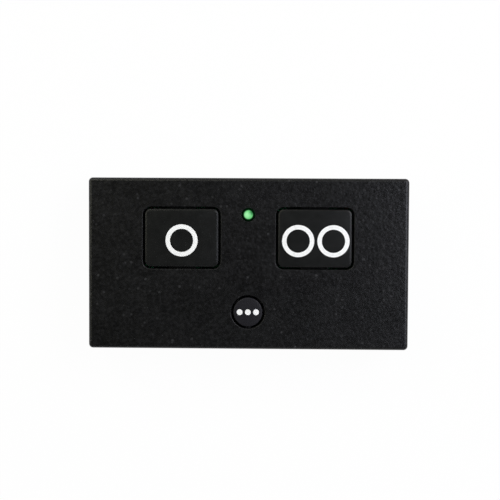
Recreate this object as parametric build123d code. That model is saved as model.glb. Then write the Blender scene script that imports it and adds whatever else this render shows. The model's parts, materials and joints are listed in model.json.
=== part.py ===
from build123d import *
import os

# Three-button remote control: a moulded two-part case, two large keys, one round key,
# an indicator lamp, and behind them a circuit board with switches and a coin cell.
# The remote lies on its back. +Z points out of the button face, +X to the right of that
# face and +Y to its top. The origin is the middle of the back. Sizes are in millimetres.

# Case
CASE_WIDTH = 94.0
CASE_HEIGHT = 50.4
CORNER_RADIUS = 1.3
FRONT_EDGE_RADIUS = 1.05
BACK_EDGE_BEVEL = 0.5
SIDE_DRAFT = 0.5
SIDE_WALL = 2.0
FRONT_WALL = 2.0
BACK_WALL = 2.0
SPLIT_HEIGHT = 5.0
LIP_HEIGHT = 1.5
LIP_THICKNESS = 0.9
LIP_CLEARANCE = 0.1
SEAM_GAP = 0.25

# Large keys, placed by their centres from the middle and the top edge of the case
KEY_WIDTH = 21.5
KEY_HEIGHT = 16.9
KEY_CORNER_RADIUS = 1.6
KEY_FROM_MIDDLE = 19.5
KEY_FROM_TOP = 17.65

# Round key, placed by its centre from the bottom edge of the case
ROUND_KEY_DIAMETER = 8.5
ROUND_KEY_FROM_BOTTOM = 11.05

# What all three caps share
KEY_GAP = 0.65
KEY_PROUD = 0.3
KEY_EDGE_DROP = 0.6
KEY_EDGE_SLOPE = 40.0
KEY_CROWN_RADIUS = 260.0
ROUND_KEY_CROWN_RADIUS = 40.0
OPENING_BEVEL = 0.2
CAP_PLATE = 1.7
SKIRT_WALL = 1.2
TAB_REACH = 1.0
KEY_TAB_WIDTH = 8.0
ROUND_KEY_TAB_WIDTH = 2.0
TAB_THICKNESS = 0.9
TAB_GAP = 0.3
KEY_TRAVEL = 0.5
POST_LENGTH = 1.0
POST_DIAMETER = 4.0
CAP_RIB = 0.9

# Moulded wells that guide the caps under the front wall
GUIDE_CLEARANCE = 0.3
WELL_WALL = 1.2
WELL_MARGIN = 0.9
TURN_STOP_WIDTH = 1.6
TURN_STOP_REACH = 0.7

# Case screws, bosses and stiffening ribs
CASE_BOSS_INSET = 6.0
CASE_BOSS_DIAMETER = 6.4
CASE_SCREW_SHANK = 2.1
CASE_SCREW_LENGTH = 8.0
CASE_SCREW_HEAD = 4.0
CASE_SCREW_HEAD_HEIGHT = 1.3
CASE_HEAD_POCKET_DEPTH = 2.2
PILOT_CLEARANCE = 0.05
SCREW_HOLE_CLEARANCE = 0.15
HEAD_CLEARANCE = 0.25
PILOT_SPARE_DEPTH = 1.0
RIB_THICKNESS = 1.0
RIB_DEPTH = 1.2
RIB_OFFSET = 5.0

# Circuit board and its screws
BOARD_THICKNESS = 1.6
BOARD_CLEARANCE = 0.5
BOARD_BOSS_DIAMETER = 4.6
BOARD_BOSS_GAP = 1.0
UPPER_BOARD_BOSS_FROM_TOP = 19.0
LOWER_BOARD_BOSS_FROM_BOTTOM = 10.0
BOARD_SCREW_SHANK = 1.9
BOARD_SCREW_LENGTH = 5.0
BOARD_SCREW_HEAD = 3.6
BOARD_SCREW_HEAD_HEIGHT = 1.2

# Push switch under each key
SWITCH_WIDTH = 6.0
SWITCH_BODY_HEIGHT = 3.5
SWITCH_HEIGHT = 5.5
SWITCH_CAVITY_DIAMETER = 5.0
SWITCH_CAVITY_DEPTH = 1.7
SWITCH_COVER_SHEET = 0.25
SWITCH_EAR_WIDTH = 2.6
SWITCH_EAR_DROP = 1.6
PLUNGER_DIAMETER = 3.5
PLUNGER_COLLAR_DIAMETER = 4.5
PLUNGER_COLLAR_HEIGHT = 0.6
PLUNGER_CLEARANCE = 0.15
DOME_DIAMETER = 4.4
DOME_SLOPE = 50.0
DOME_RISE = 0.8
DOME_SHEET = 0.12
TERMINAL_WIDTH = 0.7
TERMINAL_SHEET = 0.2
TERMINAL_RISE = 1.0
TERMINAL_FOOT = 1.1
TERMINAL_SPREAD = 4.5

# Indicator lamp
LAMP_FROM_TOP = 10.8
LAMP_DIAMETER = 3.0
LAMP_HOLE_DIAMETER = 4.1
LAMP_LENGTH = 5.3
LAMP_FLANGE_DIAMETER = 3.8
LAMP_FLANGE_HEIGHT = 1.0
LAMP_RECESS = 0.2
LAMP_COLLAR_WALL = 1.0
LAMP_COLLAR_DEPTH = 2.4
LEAD_THICKNESS = 0.5
LEAD_PITCH = 2.54
LEAD_TAIL = 1.2
LEAD_CLEARANCE = 0.15
SPACER_DIAMETER = 4.8

# Coin cell, its holder and contacts, on the back of the board
CELL_DIAMETER = 20.0
CELL_THICKNESS = 3.2
CELL_CAP_DIAMETER = 17.6
CELL_CAP_HEIGHT = 0.3
CELL_CLEARANCE = 0.5
HOLDER_WALL = 1.25
HOLDER_FLOOR = 1.0
HOLDER_RIM_SETBACK = 0.5
HOLDER_FROM_BOTTOM = 16.0
HOLDER_NOTCH_WIDTH = 7.0
CONTACT_SHEET = 0.25
CONTACT_WIDTH = 4.0
CONTACT_OVERLAP = 7.5
CONTACT_CLEARANCE = 0.3
CONTACT_STANDOFF = 0.4

# Battery door, a dovetail plate that slides out over the bottom edge of the case
DOOR_MARGIN = 3.0
DOOR_GAP = 0.25
DOVETAIL_REACH = 1.2
RAIL_WIDTH = 1.6
RAIL_HEIGHT = 1.2
DOOR_RIB_GAP = 0.3
DOOR_RIB_SPACING = 12.0
DOOR_DEPTH_CLEARANCE = 1.8
GRIP_WIDTH = 12.0
GRIP_HEIGHT = 7.0
GRIP_DEPTH = 0.7
GRIP_CORNER_RADIUS = 1.5
GRIP_FROM_BOTTOM = 8.0
GRIP_RIDGES = 3
GRIP_RIDGE_WIDTH = 0.8
GRIP_RIDGE_PITCH = 1.8

# Other parts on the board
CHIP_LENGTH = 12.8
CHIP_WIDTH = 7.5
CHIP_HEIGHT = 2.3
CHIP_STANDOFF = 0.1
CHIP_PINS_PER_SIDE = 9
CHIP_PIN_PITCH = 1.27
CHIP_PIN_WIDTH = 0.42
CHIP_PIN_SHEET = 0.25
CHIP_PIN_REACH = 1.3
CHIP_FROM_BOARD_SCREW = 9.0
CHIP_ABOVE_MIDDLE = 3.0
RADIO_CHIP_WIDTH = 5.0
RADIO_CHIP_HEIGHT = 0.9
CRYSTAL_LENGTH = 11.0
CRYSTAL_WIDTH = 4.6
CRYSTAL_HEIGHT = 3.5
CRYSTAL_EDGE_BEVEL = 0.3
CRYSTAL_BELOW_RADIO = 10.0
TRACE_WIDTH = 1.2
TRACE_THICKNESS = 0.1
TRACE_FROM_SIDE = 18.0
TRACE_DROP = 5.0
TRACE_EDGE_INSET = 1.0
TRACE_BEND_RADIUS = 1.5
TRIMMER_DIAMETER = 4.0
TRIMMER_HEIGHT = 1.8
TRIMMER_FROM_TRACE = 2.6
TRIMMER_SLOT = 0.6
SMALL_PART_LENGTH = 2.0
SMALL_PART_WIDTH = 1.25
SMALL_PART_HEIGHT = 0.6
SMALL_PART_PITCH = 2.2
RESISTOR_COUNT = 6
CAPACITOR_COUNT = 5

# Sides of a small hidden round, such as a boss, pilot hole or shank, which is a prism
SMALL_ROUND_SIDES = 8

# Heights, stacked from the back of the case to the top of the keys
CLIP_BOTTOM = BACK_WALL + DOOR_DEPTH_CLEARANCE
CELL_BOTTOM = CLIP_BOTTOM + CONTACT_SHEET
CELL_TOP = CELL_BOTTOM + CELL_THICKNESS
HOLDER_SEAT = CELL_TOP + CONTACT_SHEET
BOARD_BOTTOM = HOLDER_SEAT + HOLDER_FLOOR
BOARD_TOP = BOARD_BOTTOM + BOARD_THICKNESS
SWITCH_BODY_TOP = BOARD_TOP + SWITCH_BODY_HEIGHT
PLUNGER_TOP = BOARD_TOP + SWITCH_HEIGHT
CAP_UNDERSIDE = PLUNGER_TOP + POST_LENGTH
KEY_TOP = CAP_UNDERSIDE + CAP_PLATE
CASE_DEPTH = KEY_TOP - KEY_PROUD
CEILING = CASE_DEPTH - FRONT_WALL
TAB_TOP = CEILING - TAB_GAP
TAB_BOTTOM = TAB_TOP - TAB_THICKNESS
WELL_FOOT = TAB_BOTTOM - KEY_TRAVEL - WELL_MARGIN
LAMP_TIP = CASE_DEPTH - LAMP_RECESS
LAMP_BASE = LAMP_TIP - LAMP_LENGTH

# Places on the button face and behind it
TOP_EDGE = CASE_HEIGHT / 2
BOTTOM_EDGE = -CASE_HEIGHT / 2
KEY_Y = TOP_EDGE - KEY_FROM_TOP
LAMP_Y = TOP_EDGE - LAMP_FROM_TOP
ROUND_KEY_Y = BOTTOM_EDGE + ROUND_KEY_FROM_BOTTOM
HOLDER_Y = BOTTOM_EDGE + HOLDER_FROM_BOTTOM
HOLDER_BORE = CELL_DIAMETER / 2 + CELL_CLEARANCE
HOLDER_REACH = HOLDER_BORE + HOLDER_WALL
DOOR_HALF_WIDTH = CELL_DIAMETER / 2 + DOOR_MARGIN
DOOR_END = HOLDER_Y + CELL_DIAMETER / 2 + DOOR_MARGIN - DOOR_GAP
CASE_BOSS_X = CASE_WIDTH / 2 - CASE_BOSS_INSET
CASE_BOSS_Y = CASE_HEIGHT / 2 - CASE_BOSS_INSET
WELL_GROWTH = TAB_REACH + GUIDE_CLEARANCE + WELL_WALL
UPPER_BOARD_BOSS_X = KEY_FROM_MIDDLE + KEY_WIDTH / 2 + WELL_GROWTH + BOARD_BOSS_GAP + BOARD_BOSS_DIAMETER / 2
LOWER_BOARD_BOSS_X = HOLDER_REACH + BOARD_BOSS_GAP + BOARD_BOSS_DIAMETER / 2
INNER_HALF_WIDTH = CASE_WIDTH / 2 - SIDE_WALL
INNER_HALF_HEIGHT = CASE_HEIGHT / 2 - SIDE_WALL
CHIP_X = UPPER_BOARD_BOSS_X - CHIP_FROM_BOARD_SCREW
TRACE_END = CASE_WIDTH / 2 - TRACE_FROM_SIDE
TRACE_Y = INNER_HALF_HEIGHT - BOARD_CLEARANCE - TRACE_EDGE_INSET - TRACE_WIDTH / 2

CASE_BOSS_PLACES = [(sx * CASE_BOSS_X, sy * CASE_BOSS_Y) for sx in (-1, 1) for sy in (-1, 1)]
BOARD_BOSS_PLACES = [
    (side * x, y)
    for side in (-1, 1)
    for x, y in (
        (UPPER_BOARD_BOSS_X, TOP_EDGE - UPPER_BOARD_BOSS_FROM_TOP),
        (LOWER_BOARD_BOSS_X, BOTTOM_EDGE + LOWER_BOARD_BOSS_FROM_BOTTOM),
    )
]
KEY_PLACES = {
    "left": (-KEY_FROM_MIDDLE, KEY_Y),
    "right": (KEY_FROM_MIDDLE, KEY_Y),
    "round": (0.0, ROUND_KEY_Y),
}


def slab(outline, low, high):
    """A flat outline made solid between two heights."""
    return Pos(0, 0, low) * extrude(outline, high - low)


def disc(radius, low, high, x=0.0, y=0.0):
    """An upright cylinder between two heights."""
    return Pos(x, y, 0) * slab(Circle(radius), low, high)


def pin(radius, low, high, x=0.0, y=0.0):
    """A small hidden post, its corners on the radius."""
    return Pos(x, y, 0) * slab(RegularPolygon(radius, SMALL_ROUND_SIDES), low, high)


def bore(radius, low, high, x=0.0, y=0.0):
    """A small hidden hole, its flats on the radius."""
    outline = RegularPolygon(radius, SMALL_ROUND_SIDES, major_radius=False)
    return Pos(x, y, 0) * slab(outline, low, high)


def block(x_low, x_high, y_low, y_high, z_low, z_high):
    """A rectangular block between two corners."""
    size = Box(x_high - x_low, y_high - y_low, z_high - z_low)
    return Pos((x_low + x_high) / 2, (y_low + y_high) / 2, (z_low + z_high) / 2) * size


def strip(x_low, x_high, y_middle, width, z_low, z_high):
    """A block along X, given by its middle line and its width."""
    return block(x_low, x_high, y_middle - width / 2, y_middle + width / 2, z_low, z_high)


def case_outline(grow=0.0):
    """The outline of the case seen from the front, larger or smaller by an even margin."""
    width = CASE_WIDTH + 2 * grow
    height = CASE_HEIGHT + 2 * grow
    if CORNER_RADIUS + grow <= 0:
        return Rectangle(width, height)
    return RectangleRounded(width, height, CORNER_RADIUS + grow)


def key_outline(grow=0.0):
    """The outline of a large key."""
    return RectangleRounded(KEY_WIDTH + 2 * grow, KEY_HEIGHT + 2 * grow, KEY_CORNER_RADIUS + grow)


def round_key_outline(grow=0.0):
    """The outline of the round key."""
    return Circle(ROUND_KEY_DIAMETER / 2 + grow)


OUTLINES = {"left": key_outline, "right": key_outline, "round": round_key_outline}


def top_edges(solid):
    """The edges round the highest face of a solid."""
    return solid.faces().sort_by(Axis.Z)[-1].edges()


def key_wells():
    """The guide walls round each key opening, with the opening itself still closed."""
    walls = None
    for name, (x, y) in KEY_PLACES.items():
        outline = OUTLINES[name]
        ring = slab(outline(WELL_GROWTH), WELL_FOOT, CEILING)
        ring -= slab(outline(TAB_REACH + GUIDE_CLEARANCE), WELL_FOOT, CEILING)
        walls = Pos(x, y, 0) * ring if walls is None else walls + Pos(x, y, 0) * ring
    slot_half = TURN_STOP_WIDTH / 2 + GUIDE_CLEARANCE
    slot_end = ROUND_KEY_Y + ROUND_KEY_DIAMETER / 2 + TAB_REACH + TURN_STOP_REACH + GUIDE_CLEARANCE
    return walls - block(-slot_half, slot_half, ROUND_KEY_Y, slot_end, WELL_FOOT, CEILING)


def face_ribs():
    """Shallow ribs under the front wall that tie the large key wells to the side walls."""
    low = CEILING - RIB_DEPTH
    well_side = KEY_FROM_MIDDLE + KEY_WIDTH / 2 + WELL_GROWTH
    well_top = KEY_Y + KEY_HEIGHT / 2 + WELL_GROWTH
    well_foot = KEY_Y - KEY_HEIGHT / 2 - WELL_GROWTH
    ribs = []
    for side in (-1, 1):
        outer = sorted((side * (well_side - WELL_WALL / 2), side * (INNER_HALF_WIDTH + SIDE_WALL / 2)))
        for offset in (-RIB_OFFSET, RIB_OFFSET):
            ribs.append(strip(outer[0], outer[1], KEY_Y + offset, RIB_THICKNESS, low, CEILING))
            x = side * KEY_FROM_MIDDLE + offset
            x_low = x - RIB_THICKNESS / 2
            x_high = x + RIB_THICKNESS / 2
            top_end = INNER_HALF_HEIGHT + SIDE_WALL / 2
            ribs.append(block(x_low, x_high, well_top - WELL_WALL / 2, top_end, low, CEILING))
            ribs.append(block(x_low, x_high, -top_end, well_foot + WELL_WALL / 2, low, CEILING))
    return ribs


def case_boss_webs(low, high):
    """Two thin webs from each case boss to the walls beside it."""
    webs = []
    for x, y in CASE_BOSS_PLACES:
        x_side = 1 if x > 0 else -1
        y_side = 1 if y > 0 else -1
        x_ends = sorted((x, x_side * (INNER_HALF_WIDTH + SIDE_WALL / 2)))
        y_ends = sorted((y, y_side * (INNER_HALF_HEIGHT + SIDE_WALL / 2)))
        webs.append(strip(x_ends[0], x_ends[1], y, RIB_THICKNESS, low, high))
        half = RIB_THICKNESS / 2
        webs.append(block(x - half, x + half, y_ends[0], y_ends[1], low, high))
    return webs


def front_housing():
    """The deep moulding with the button face, key wells, lamp collar and screw bosses."""
    rim_height = SPLIT_HEIGHT + SEAM_GAP
    shell = extrude(Pos(0, 0, rim_height) * case_outline(), CASE_DEPTH - rim_height, taper=SIDE_DRAFT)
    shell = fillet(top_edges(shell), FRONT_EDGE_RADIUS)
    shell -= slab(case_outline(-SIDE_WALL), SPLIT_HEIGHT, CEILING)
    rebate = LIP_THICKNESS + LIP_CLEARANCE - SIDE_WALL
    shell -= slab(case_outline(rebate), SPLIT_HEIGHT, SPLIT_HEIGHT + LIP_HEIGHT + LIP_CLEARANCE)
    shell += key_wells()
    shell += face_ribs()
    shell += case_boss_webs(SPLIT_HEIGHT + LIP_HEIGHT + LIP_CLEARANCE, CEILING)
    shell += [pin(CASE_BOSS_DIAMETER / 2, SPLIT_HEIGHT, CEILING, x, y) for x, y in CASE_BOSS_PLACES]
    shell += [pin(BOARD_BOSS_DIAMETER / 2, BOARD_TOP, CEILING, x, y) for x, y in BOARD_BOSS_PLACES]
    collar = LAMP_HOLE_DIAMETER / 2 + LAMP_COLLAR_WALL
    shell += disc(collar, CEILING - LAMP_COLLAR_DEPTH, CEILING, 0, LAMP_Y)
    pilot_end = CASE_HEAD_POCKET_DEPTH + CASE_SCREW_LENGTH + PILOT_SPARE_DEPTH
    pilot = CASE_SCREW_SHANK / 2 + PILOT_CLEARANCE
    shell -= [bore(pilot, SPLIT_HEIGHT, pilot_end, x, y) for x, y in CASE_BOSS_PLACES]
    pilot_end = BOARD_BOTTOM + BOARD_SCREW_LENGTH + PILOT_SPARE_DEPTH
    pilot = BOARD_SCREW_SHANK / 2 + PILOT_CLEARANCE
    shell -= [bore(pilot, BOARD_TOP, pilot_end, x, y) for x, y in BOARD_BOSS_PLACES]
    for name, (x, y) in KEY_PLACES.items():
        shell -= Pos(x, y, 0) * slab(OUTLINES[name](KEY_GAP), CEILING, CASE_DEPTH)
    face = shell.faces().sort_by(Axis.Z)[-1]
    opening_edges = [edge for wire in face.inner_wires() for edge in wire.edges()]
    shell = chamfer(opening_edges, OPENING_BEVEL)
    return shell - disc(LAMP_HOLE_DIAMETER / 2, CEILING - LAMP_COLLAR_DEPTH, CASE_DEPTH, 0, LAMP_Y)


def door_profile(grow=0.0):
    """The dovetail section of the battery door across X, with an even margin round it."""
    foot = DOOR_HALF_WIDTH + grow
    head = DOOR_HALF_WIDTH + DOVETAIL_REACH + grow
    points = [(-foot, 0), (foot, 0), (head, BACK_WALL + grow), (-head, BACK_WALL + grow)]
    return Plane.XZ * Polygon(*points, align=None)


def door_body(grow=0.0):
    """The sliding plate of the door from the bottom edge of the case to its inner end."""
    length = DOOR_END + grow - BOTTOM_EDGE
    return Pos(0, DOOR_END + grow, 0) * extrude(door_profile(grow), length)


def door_end_wall(top, grow=0.0):
    """The stretch of side wall that the door carries, as wide as the dovetail's head."""
    half = DOOR_HALF_WIDTH + DOVETAIL_REACH + grow
    return block(-half, half, BOTTOM_EDGE, BOTTOM_EDGE + SIDE_WALL, BACK_WALL, top)


def back_tray():
    """The shallow outer form that the rear cover and the battery door share."""
    tray = slab(case_outline(), 0, SPLIT_HEIGHT)
    back_face = tray.faces().sort_by(Axis.Z)[0]
    return chamfer(back_face.edges(), BACK_EDGE_BEVEL)


def rear_cover():
    """The shallow back moulding with its lip, screw pockets and the dovetail door opening."""
    cover = back_tray() - slab(case_outline(-SIDE_WALL), BACK_WALL, SPLIT_HEIGHT)
    lip = slab(case_outline(LIP_THICKNESS - SIDE_WALL), SPLIT_HEIGHT - BACK_WALL / 2, SPLIT_HEIGHT + LIP_HEIGHT)
    lip -= slab(case_outline(-SIDE_WALL), SPLIT_HEIGHT - BACK_WALL / 2, SPLIT_HEIGHT + LIP_HEIGHT)
    cover += lip
    cover += [pin(CASE_BOSS_DIAMETER / 2, BACK_WALL / 2, SPLIT_HEIGHT, x, y) for x, y in CASE_BOSS_PLACES]
    rail_inner = DOOR_HALF_WIDTH + DOOR_GAP
    rail_outer = DOOR_HALF_WIDTH + DOVETAIL_REACH + DOOR_GAP + RAIL_WIDTH
    rail_top = BACK_WALL + DOOR_GAP + RAIL_HEIGHT
    for side in (-1, 1):
        ends = sorted((side * rail_inner, side * rail_outer))
        cover += block(ends[0], ends[1], -INNER_HALF_HEIGHT, DOOR_END, BACK_WALL / 2, rail_top)
    cover -= door_body(DOOR_GAP)
    cover -= door_end_wall(SPLIT_HEIGHT + LIP_HEIGHT, DOOR_GAP)
    hole = CASE_SCREW_SHANK / 2 + SCREW_HOLE_CLEARANCE
    pocket = CASE_SCREW_HEAD / 2 + HEAD_CLEARANCE
    cover -= [bore(hole, 0, SPLIT_HEIGHT, x, y) for x, y in CASE_BOSS_PLACES]
    cover -= [disc(pocket, 0, CASE_HEAD_POCKET_DEPTH, x, y) for x, y in CASE_BOSS_PLACES]
    return cover


def battery_door():
    """The dovetail door with its end wall, thumb grip and the ribs that keep the cell down."""
    door = back_tray() & (door_body() + door_end_wall(SPLIT_HEIGHT))
    door -= block(
        -DOOR_HALF_WIDTH - DOVETAIL_REACH,
        DOOR_HALF_WIDTH + DOVETAIL_REACH,
        BOTTOM_EDGE + SIDE_WALL,
        DOOR_END,
        BACK_WALL,
        SPLIT_HEIGHT,
    )
    rib_foot = BOTTOM_EDGE + SIDE_WALL / 2
    for x in (-DOOR_RIB_SPACING / 2, DOOR_RIB_SPACING / 2):
        half = RIB_THICKNESS / 2
        top = CLIP_BOTTOM - DOOR_RIB_GAP
        door += block(x - half, x + half, rib_foot, DOOR_END - SIDE_WALL, BACK_WALL / 2, top)
    grip = Pos(0, BOTTOM_EDGE + GRIP_FROM_BOTTOM, 0) * RectangleRounded(GRIP_WIDTH, GRIP_HEIGHT, GRIP_CORNER_RADIUS)
    door -= slab(grip, 0, GRIP_DEPTH)
    for i in range(GRIP_RIDGES):
        y = BOTTOM_EDGE + GRIP_FROM_BOTTOM + (i - (GRIP_RIDGES - 1) / 2) * GRIP_RIDGE_PITCH
        end = GRIP_WIDTH / 2 - GRIP_CORNER_RADIUS
        door += strip(-end, end, y, GRIP_RIDGE_WIDTH, GRIP_DEPTH / 3, BACK_WALL / 2)
    return door


def key_cap(outline, crown_radius, tab_width):
    """A hollow cap with a gently crowned top, four holding tabs and a post for the switch."""
    shoulder = KEY_TOP - KEY_EDGE_DROP
    cap = slab(outline(), TAB_BOTTOM, shoulder)
    cap += Pos(0, 0, shoulder) * extrude(outline(), KEY_EDGE_DROP, taper=KEY_EDGE_SLOPE)
    cap &= Pos(0, 0, KEY_TOP - crown_radius) * Rot(90, 0, 0) * Sphere(crown_radius)
    tab_end = outline(TAB_REACH).bounding_box().size / 2
    half = tab_width / 2
    cap += block(-tab_end.X, tab_end.X, -half, half, TAB_BOTTOM, TAB_TOP)
    cap += block(-half, half, -tab_end.Y, tab_end.Y, TAB_BOTTOM, TAB_TOP)
    cap -= slab(outline(-SKIRT_WALL), TAB_BOTTOM, CAP_UNDERSIDE)
    size = outline(-SKIRT_WALL / 2).bounding_box().size
    cap += block(-size.X / 2, size.X / 2, -CAP_RIB / 2, CAP_RIB / 2, PLUNGER_TOP, CAP_UNDERSIDE)
    cap += block(-CAP_RIB / 2, CAP_RIB / 2, -size.Y / 2, size.Y / 2, PLUNGER_TOP, CAP_UNDERSIDE)
    cap += pin(POST_DIAMETER / 2, PLUNGER_TOP, CAP_UNDERSIDE + CAP_PLATE / 2)
    return cap


def round_key_cap():
    """The round cap, whose small tab stops it turning in its well."""
    cap = key_cap(round_key_outline, ROUND_KEY_CROWN_RADIUS, ROUND_KEY_TAB_WIDTH)
    tab_start = ROUND_KEY_DIAMETER / 2
    tab_end = tab_start + TAB_REACH + TURN_STOP_REACH
    half = TURN_STOP_WIDTH / 2
    return cap + block(-half, half, tab_start - SKIRT_WALL / 2, tab_end, TAB_BOTTOM, TAB_TOP)


def circuit_board():
    """The bare board, notched round the case bosses, with its screw and lead holes."""
    board = slab(case_outline(-SIDE_WALL - BOARD_CLEARANCE), BOARD_BOTTOM, BOARD_TOP)
    reach = CASE_BOSS_DIAMETER / 2 + BOARD_CLEARANCE
    for x, y in CASE_BOSS_PLACES:
        x_ends = sorted((x - reach * (1 if x > 0 else -1), CASE_WIDTH / 2 * (1 if x > 0 else -1)))
        y_ends = sorted((y - reach * (1 if y > 0 else -1), CASE_HEIGHT / 2 * (1 if y > 0 else -1)))
        board -= block(x_ends[0], x_ends[1], y_ends[0], y_ends[1], BOARD_BOTTOM, BOARD_TOP)
    hole = BOARD_SCREW_SHANK / 2 + SCREW_HOLE_CLEARANCE
    board -= [bore(hole, BOARD_BOTTOM, BOARD_TOP, x, y) for x, y in BOARD_BOSS_PLACES]
    return board - lamp_lead_holes(BOARD_BOTTOM, BOARD_TOP)


def switch_base():
    """The moulded switch body with its round cavity for the dome and plunger."""
    body = slab(Rectangle(SWITCH_WIDTH, SWITCH_WIDTH), BOARD_TOP, SWITCH_BODY_TOP)
    return body - bore(SWITCH_CAVITY_DIAMETER / 2, SWITCH_BODY_TOP - SWITCH_CAVITY_DEPTH, SWITCH_BODY_TOP)


def switch_cover():
    """The sheet steel cover with two ears folded down the sides of the body."""
    half = SWITCH_WIDTH / 2
    top = SWITCH_BODY_TOP + SWITCH_COVER_SHEET
    outer = half + SWITCH_COVER_SHEET
    cover = block(-half, half, -outer, outer, SWITCH_BODY_TOP, top)
    for side in (-1, 1):
        ends = sorted((side * half, side * outer))
        ear_half = SWITCH_EAR_WIDTH / 2
        cover += block(-ear_half, ear_half, ends[0], ends[1], SWITCH_BODY_TOP - SWITCH_EAR_DROP, top)
    return cover - bore(PLUNGER_DIAMETER / 2 + PLUNGER_CLEARANCE, SWITCH_BODY_TOP, top)


def switch_plunger():
    """The stem that the cap pushes, with the collar that the cover holds in."""
    foot = SWITCH_BODY_TOP - SWITCH_CAVITY_DEPTH + DOME_RISE
    stem = pin(PLUNGER_DIAMETER / 2, foot, PLUNGER_TOP)
    return stem + pin(PLUNGER_COLLAR_DIAMETER / 2, foot, foot + PLUNGER_COLLAR_HEIGHT)


def switch_dome():
    """The sprung steel dome that gives the click and lifts the key again."""
    floor = SWITCH_BODY_TOP - SWITCH_CAVITY_DEPTH
    foot = RegularPolygon(DOME_DIAMETER / 2, SMALL_ROUND_SIDES)
    dome = Pos(0, 0, floor) * extrude(foot, DOME_RISE, taper=DOME_SLOPE)
    return dome - Pos(0, 0, -DOME_SHEET) * dome


def switch_terminals():
    """Four tinned legs that bend out onto the board."""
    half = SWITCH_WIDTH / 2
    legs = []
    for side in (-1, 1):
        riser = sorted((side * half, side * (half + TERMINAL_SHEET)))
        foot = sorted((side * half, side * (half + TERMINAL_FOOT)))
        for y in (-TERMINAL_SPREAD / 2, TERMINAL_SPREAD / 2):
            leg = strip(riser[0], riser[1], y, TERMINAL_WIDTH, BOARD_TOP, BOARD_TOP + TERMINAL_RISE)
            leg += strip(foot[0], foot[1], y, TERMINAL_WIDTH, BOARD_TOP, BOARD_TOP + TERMINAL_SHEET)
            legs.append(leg)
    return Compound(legs)


def indicator_led():
    """The round lamp body with its domed tip and base flange."""
    radius = LAMP_DIAMETER / 2
    lamp = disc(radius, LAMP_BASE, LAMP_TIP - radius, 0, LAMP_Y)
    lamp += Pos(0, LAMP_Y, LAMP_TIP - radius) * Sphere(radius)
    return lamp + pin(LAMP_FLANGE_DIAMETER / 2, LAMP_BASE, LAMP_BASE + LAMP_FLANGE_HEIGHT, 0, LAMP_Y)


def lamp_lead_holes(low, high):
    """The two holes that the lamp's leads pass through."""
    radius = LEAD_THICKNESS / 2 * 2**0.5 + LEAD_CLEARANCE
    return [bore(radius, low, high, x, LAMP_Y) for x in (-LEAD_PITCH / 2, LEAD_PITCH / 2)]


def led_leads():
    """Two square leads from the lamp through the spacer and the board."""
    low = BOARD_BOTTOM - LEAD_TAIL
    half = LEAD_THICKNESS / 2
    return Compound(
        [
            strip(x - half, x + half, LAMP_Y, LEAD_THICKNESS, low, LAMP_BASE)
            for x in (-LEAD_PITCH / 2, LEAD_PITCH / 2)
        ]
    )


def led_spacer():
    """The moulded sleeve that holds the lamp at its height above the board."""
    sleeve = disc(SPACER_DIAMETER / 2, BOARD_TOP, LAMP_BASE, 0, LAMP_Y)
    return sleeve - lamp_lead_holes(BOARD_TOP, LAMP_BASE)


def battery_holder():
    """The square cell cup under the board, open to the back, with a notch to lift the cell."""
    rim = CELL_BOTTOM + HOLDER_RIM_SETBACK
    cup = strip(-HOLDER_REACH, HOLDER_REACH, HOLDER_Y, 2 * HOLDER_REACH, rim, BOARD_BOTTOM)
    cup -= disc(HOLDER_BORE, rim, HOLDER_SEAT, 0, HOLDER_Y)
    notch = HOLDER_NOTCH_WIDTH / 2
    cup -= block(-notch, notch, HOLDER_Y, HOLDER_Y + HOLDER_REACH, rim, HOLDER_SEAT - CONTACT_SHEET)
    slot = CONTACT_WIDTH + 2 * CONTACT_CLEARANCE
    slot_low = HOLDER_SEAT - CONTACT_SHEET - CONTACT_CLEARANCE
    return cup - strip(-HOLDER_REACH, 0, HOLDER_Y, slot, slot_low, HOLDER_SEAT)


def negative_contact():
    """The flat spring strip on the cup's floor, folded up to the board beside the cup."""
    outer = HOLDER_REACH + CONTACT_STANDOFF + CONTACT_SHEET
    leaf = strip(-outer, CONTACT_OVERLAP, HOLDER_Y, CONTACT_WIDTH, CELL_TOP, HOLDER_SEAT)
    return leaf + strip(-outer, CONTACT_SHEET - outer, HOLDER_Y, CONTACT_WIDTH, CELL_TOP, BOARD_BOTTOM)


def positive_contact():
    """The clip from the board over the edge of the cell to its outer face."""
    outer = HOLDER_REACH + CONTACT_STANDOFF + CONTACT_SHEET
    finger_tip = HOLDER_BORE - CONTACT_OVERLAP
    clip = strip(finger_tip, outer, HOLDER_Y, CONTACT_WIDTH, CLIP_BOTTOM, CELL_BOTTOM)
    return clip + strip(outer - CONTACT_SHEET, outer, HOLDER_Y, CONTACT_WIDTH, CLIP_BOTTOM, BOARD_BOTTOM)


def coin_cell():
    """The coin cell, its smaller negative cap towards the board."""
    shoulder = CELL_TOP - CELL_CAP_HEIGHT
    can = disc(CELL_DIAMETER / 2, CELL_BOTTOM, shoulder, 0, HOLDER_Y)
    return can + disc(CELL_CAP_DIAMETER / 2, shoulder, CELL_TOP, 0, HOLDER_Y)


def screw_group(places, head, shank, length, seat):
    """The same screw at every place, its shank pointing up from a head under the seat."""
    screw = head + pin(shank / 2, seat, seat + length)
    return Compound([Pos(x, y, 0) * screw for x, y in places])


def case_screws():
    """The screws that hold the rear cover to the front housing."""
    seat = CASE_HEAD_POCKET_DEPTH
    head = disc(CASE_SCREW_HEAD / 2, seat - CASE_SCREW_HEAD_HEIGHT, seat)
    return screw_group(CASE_BOSS_PLACES, head, CASE_SCREW_SHANK, CASE_SCREW_LENGTH, seat)


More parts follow.
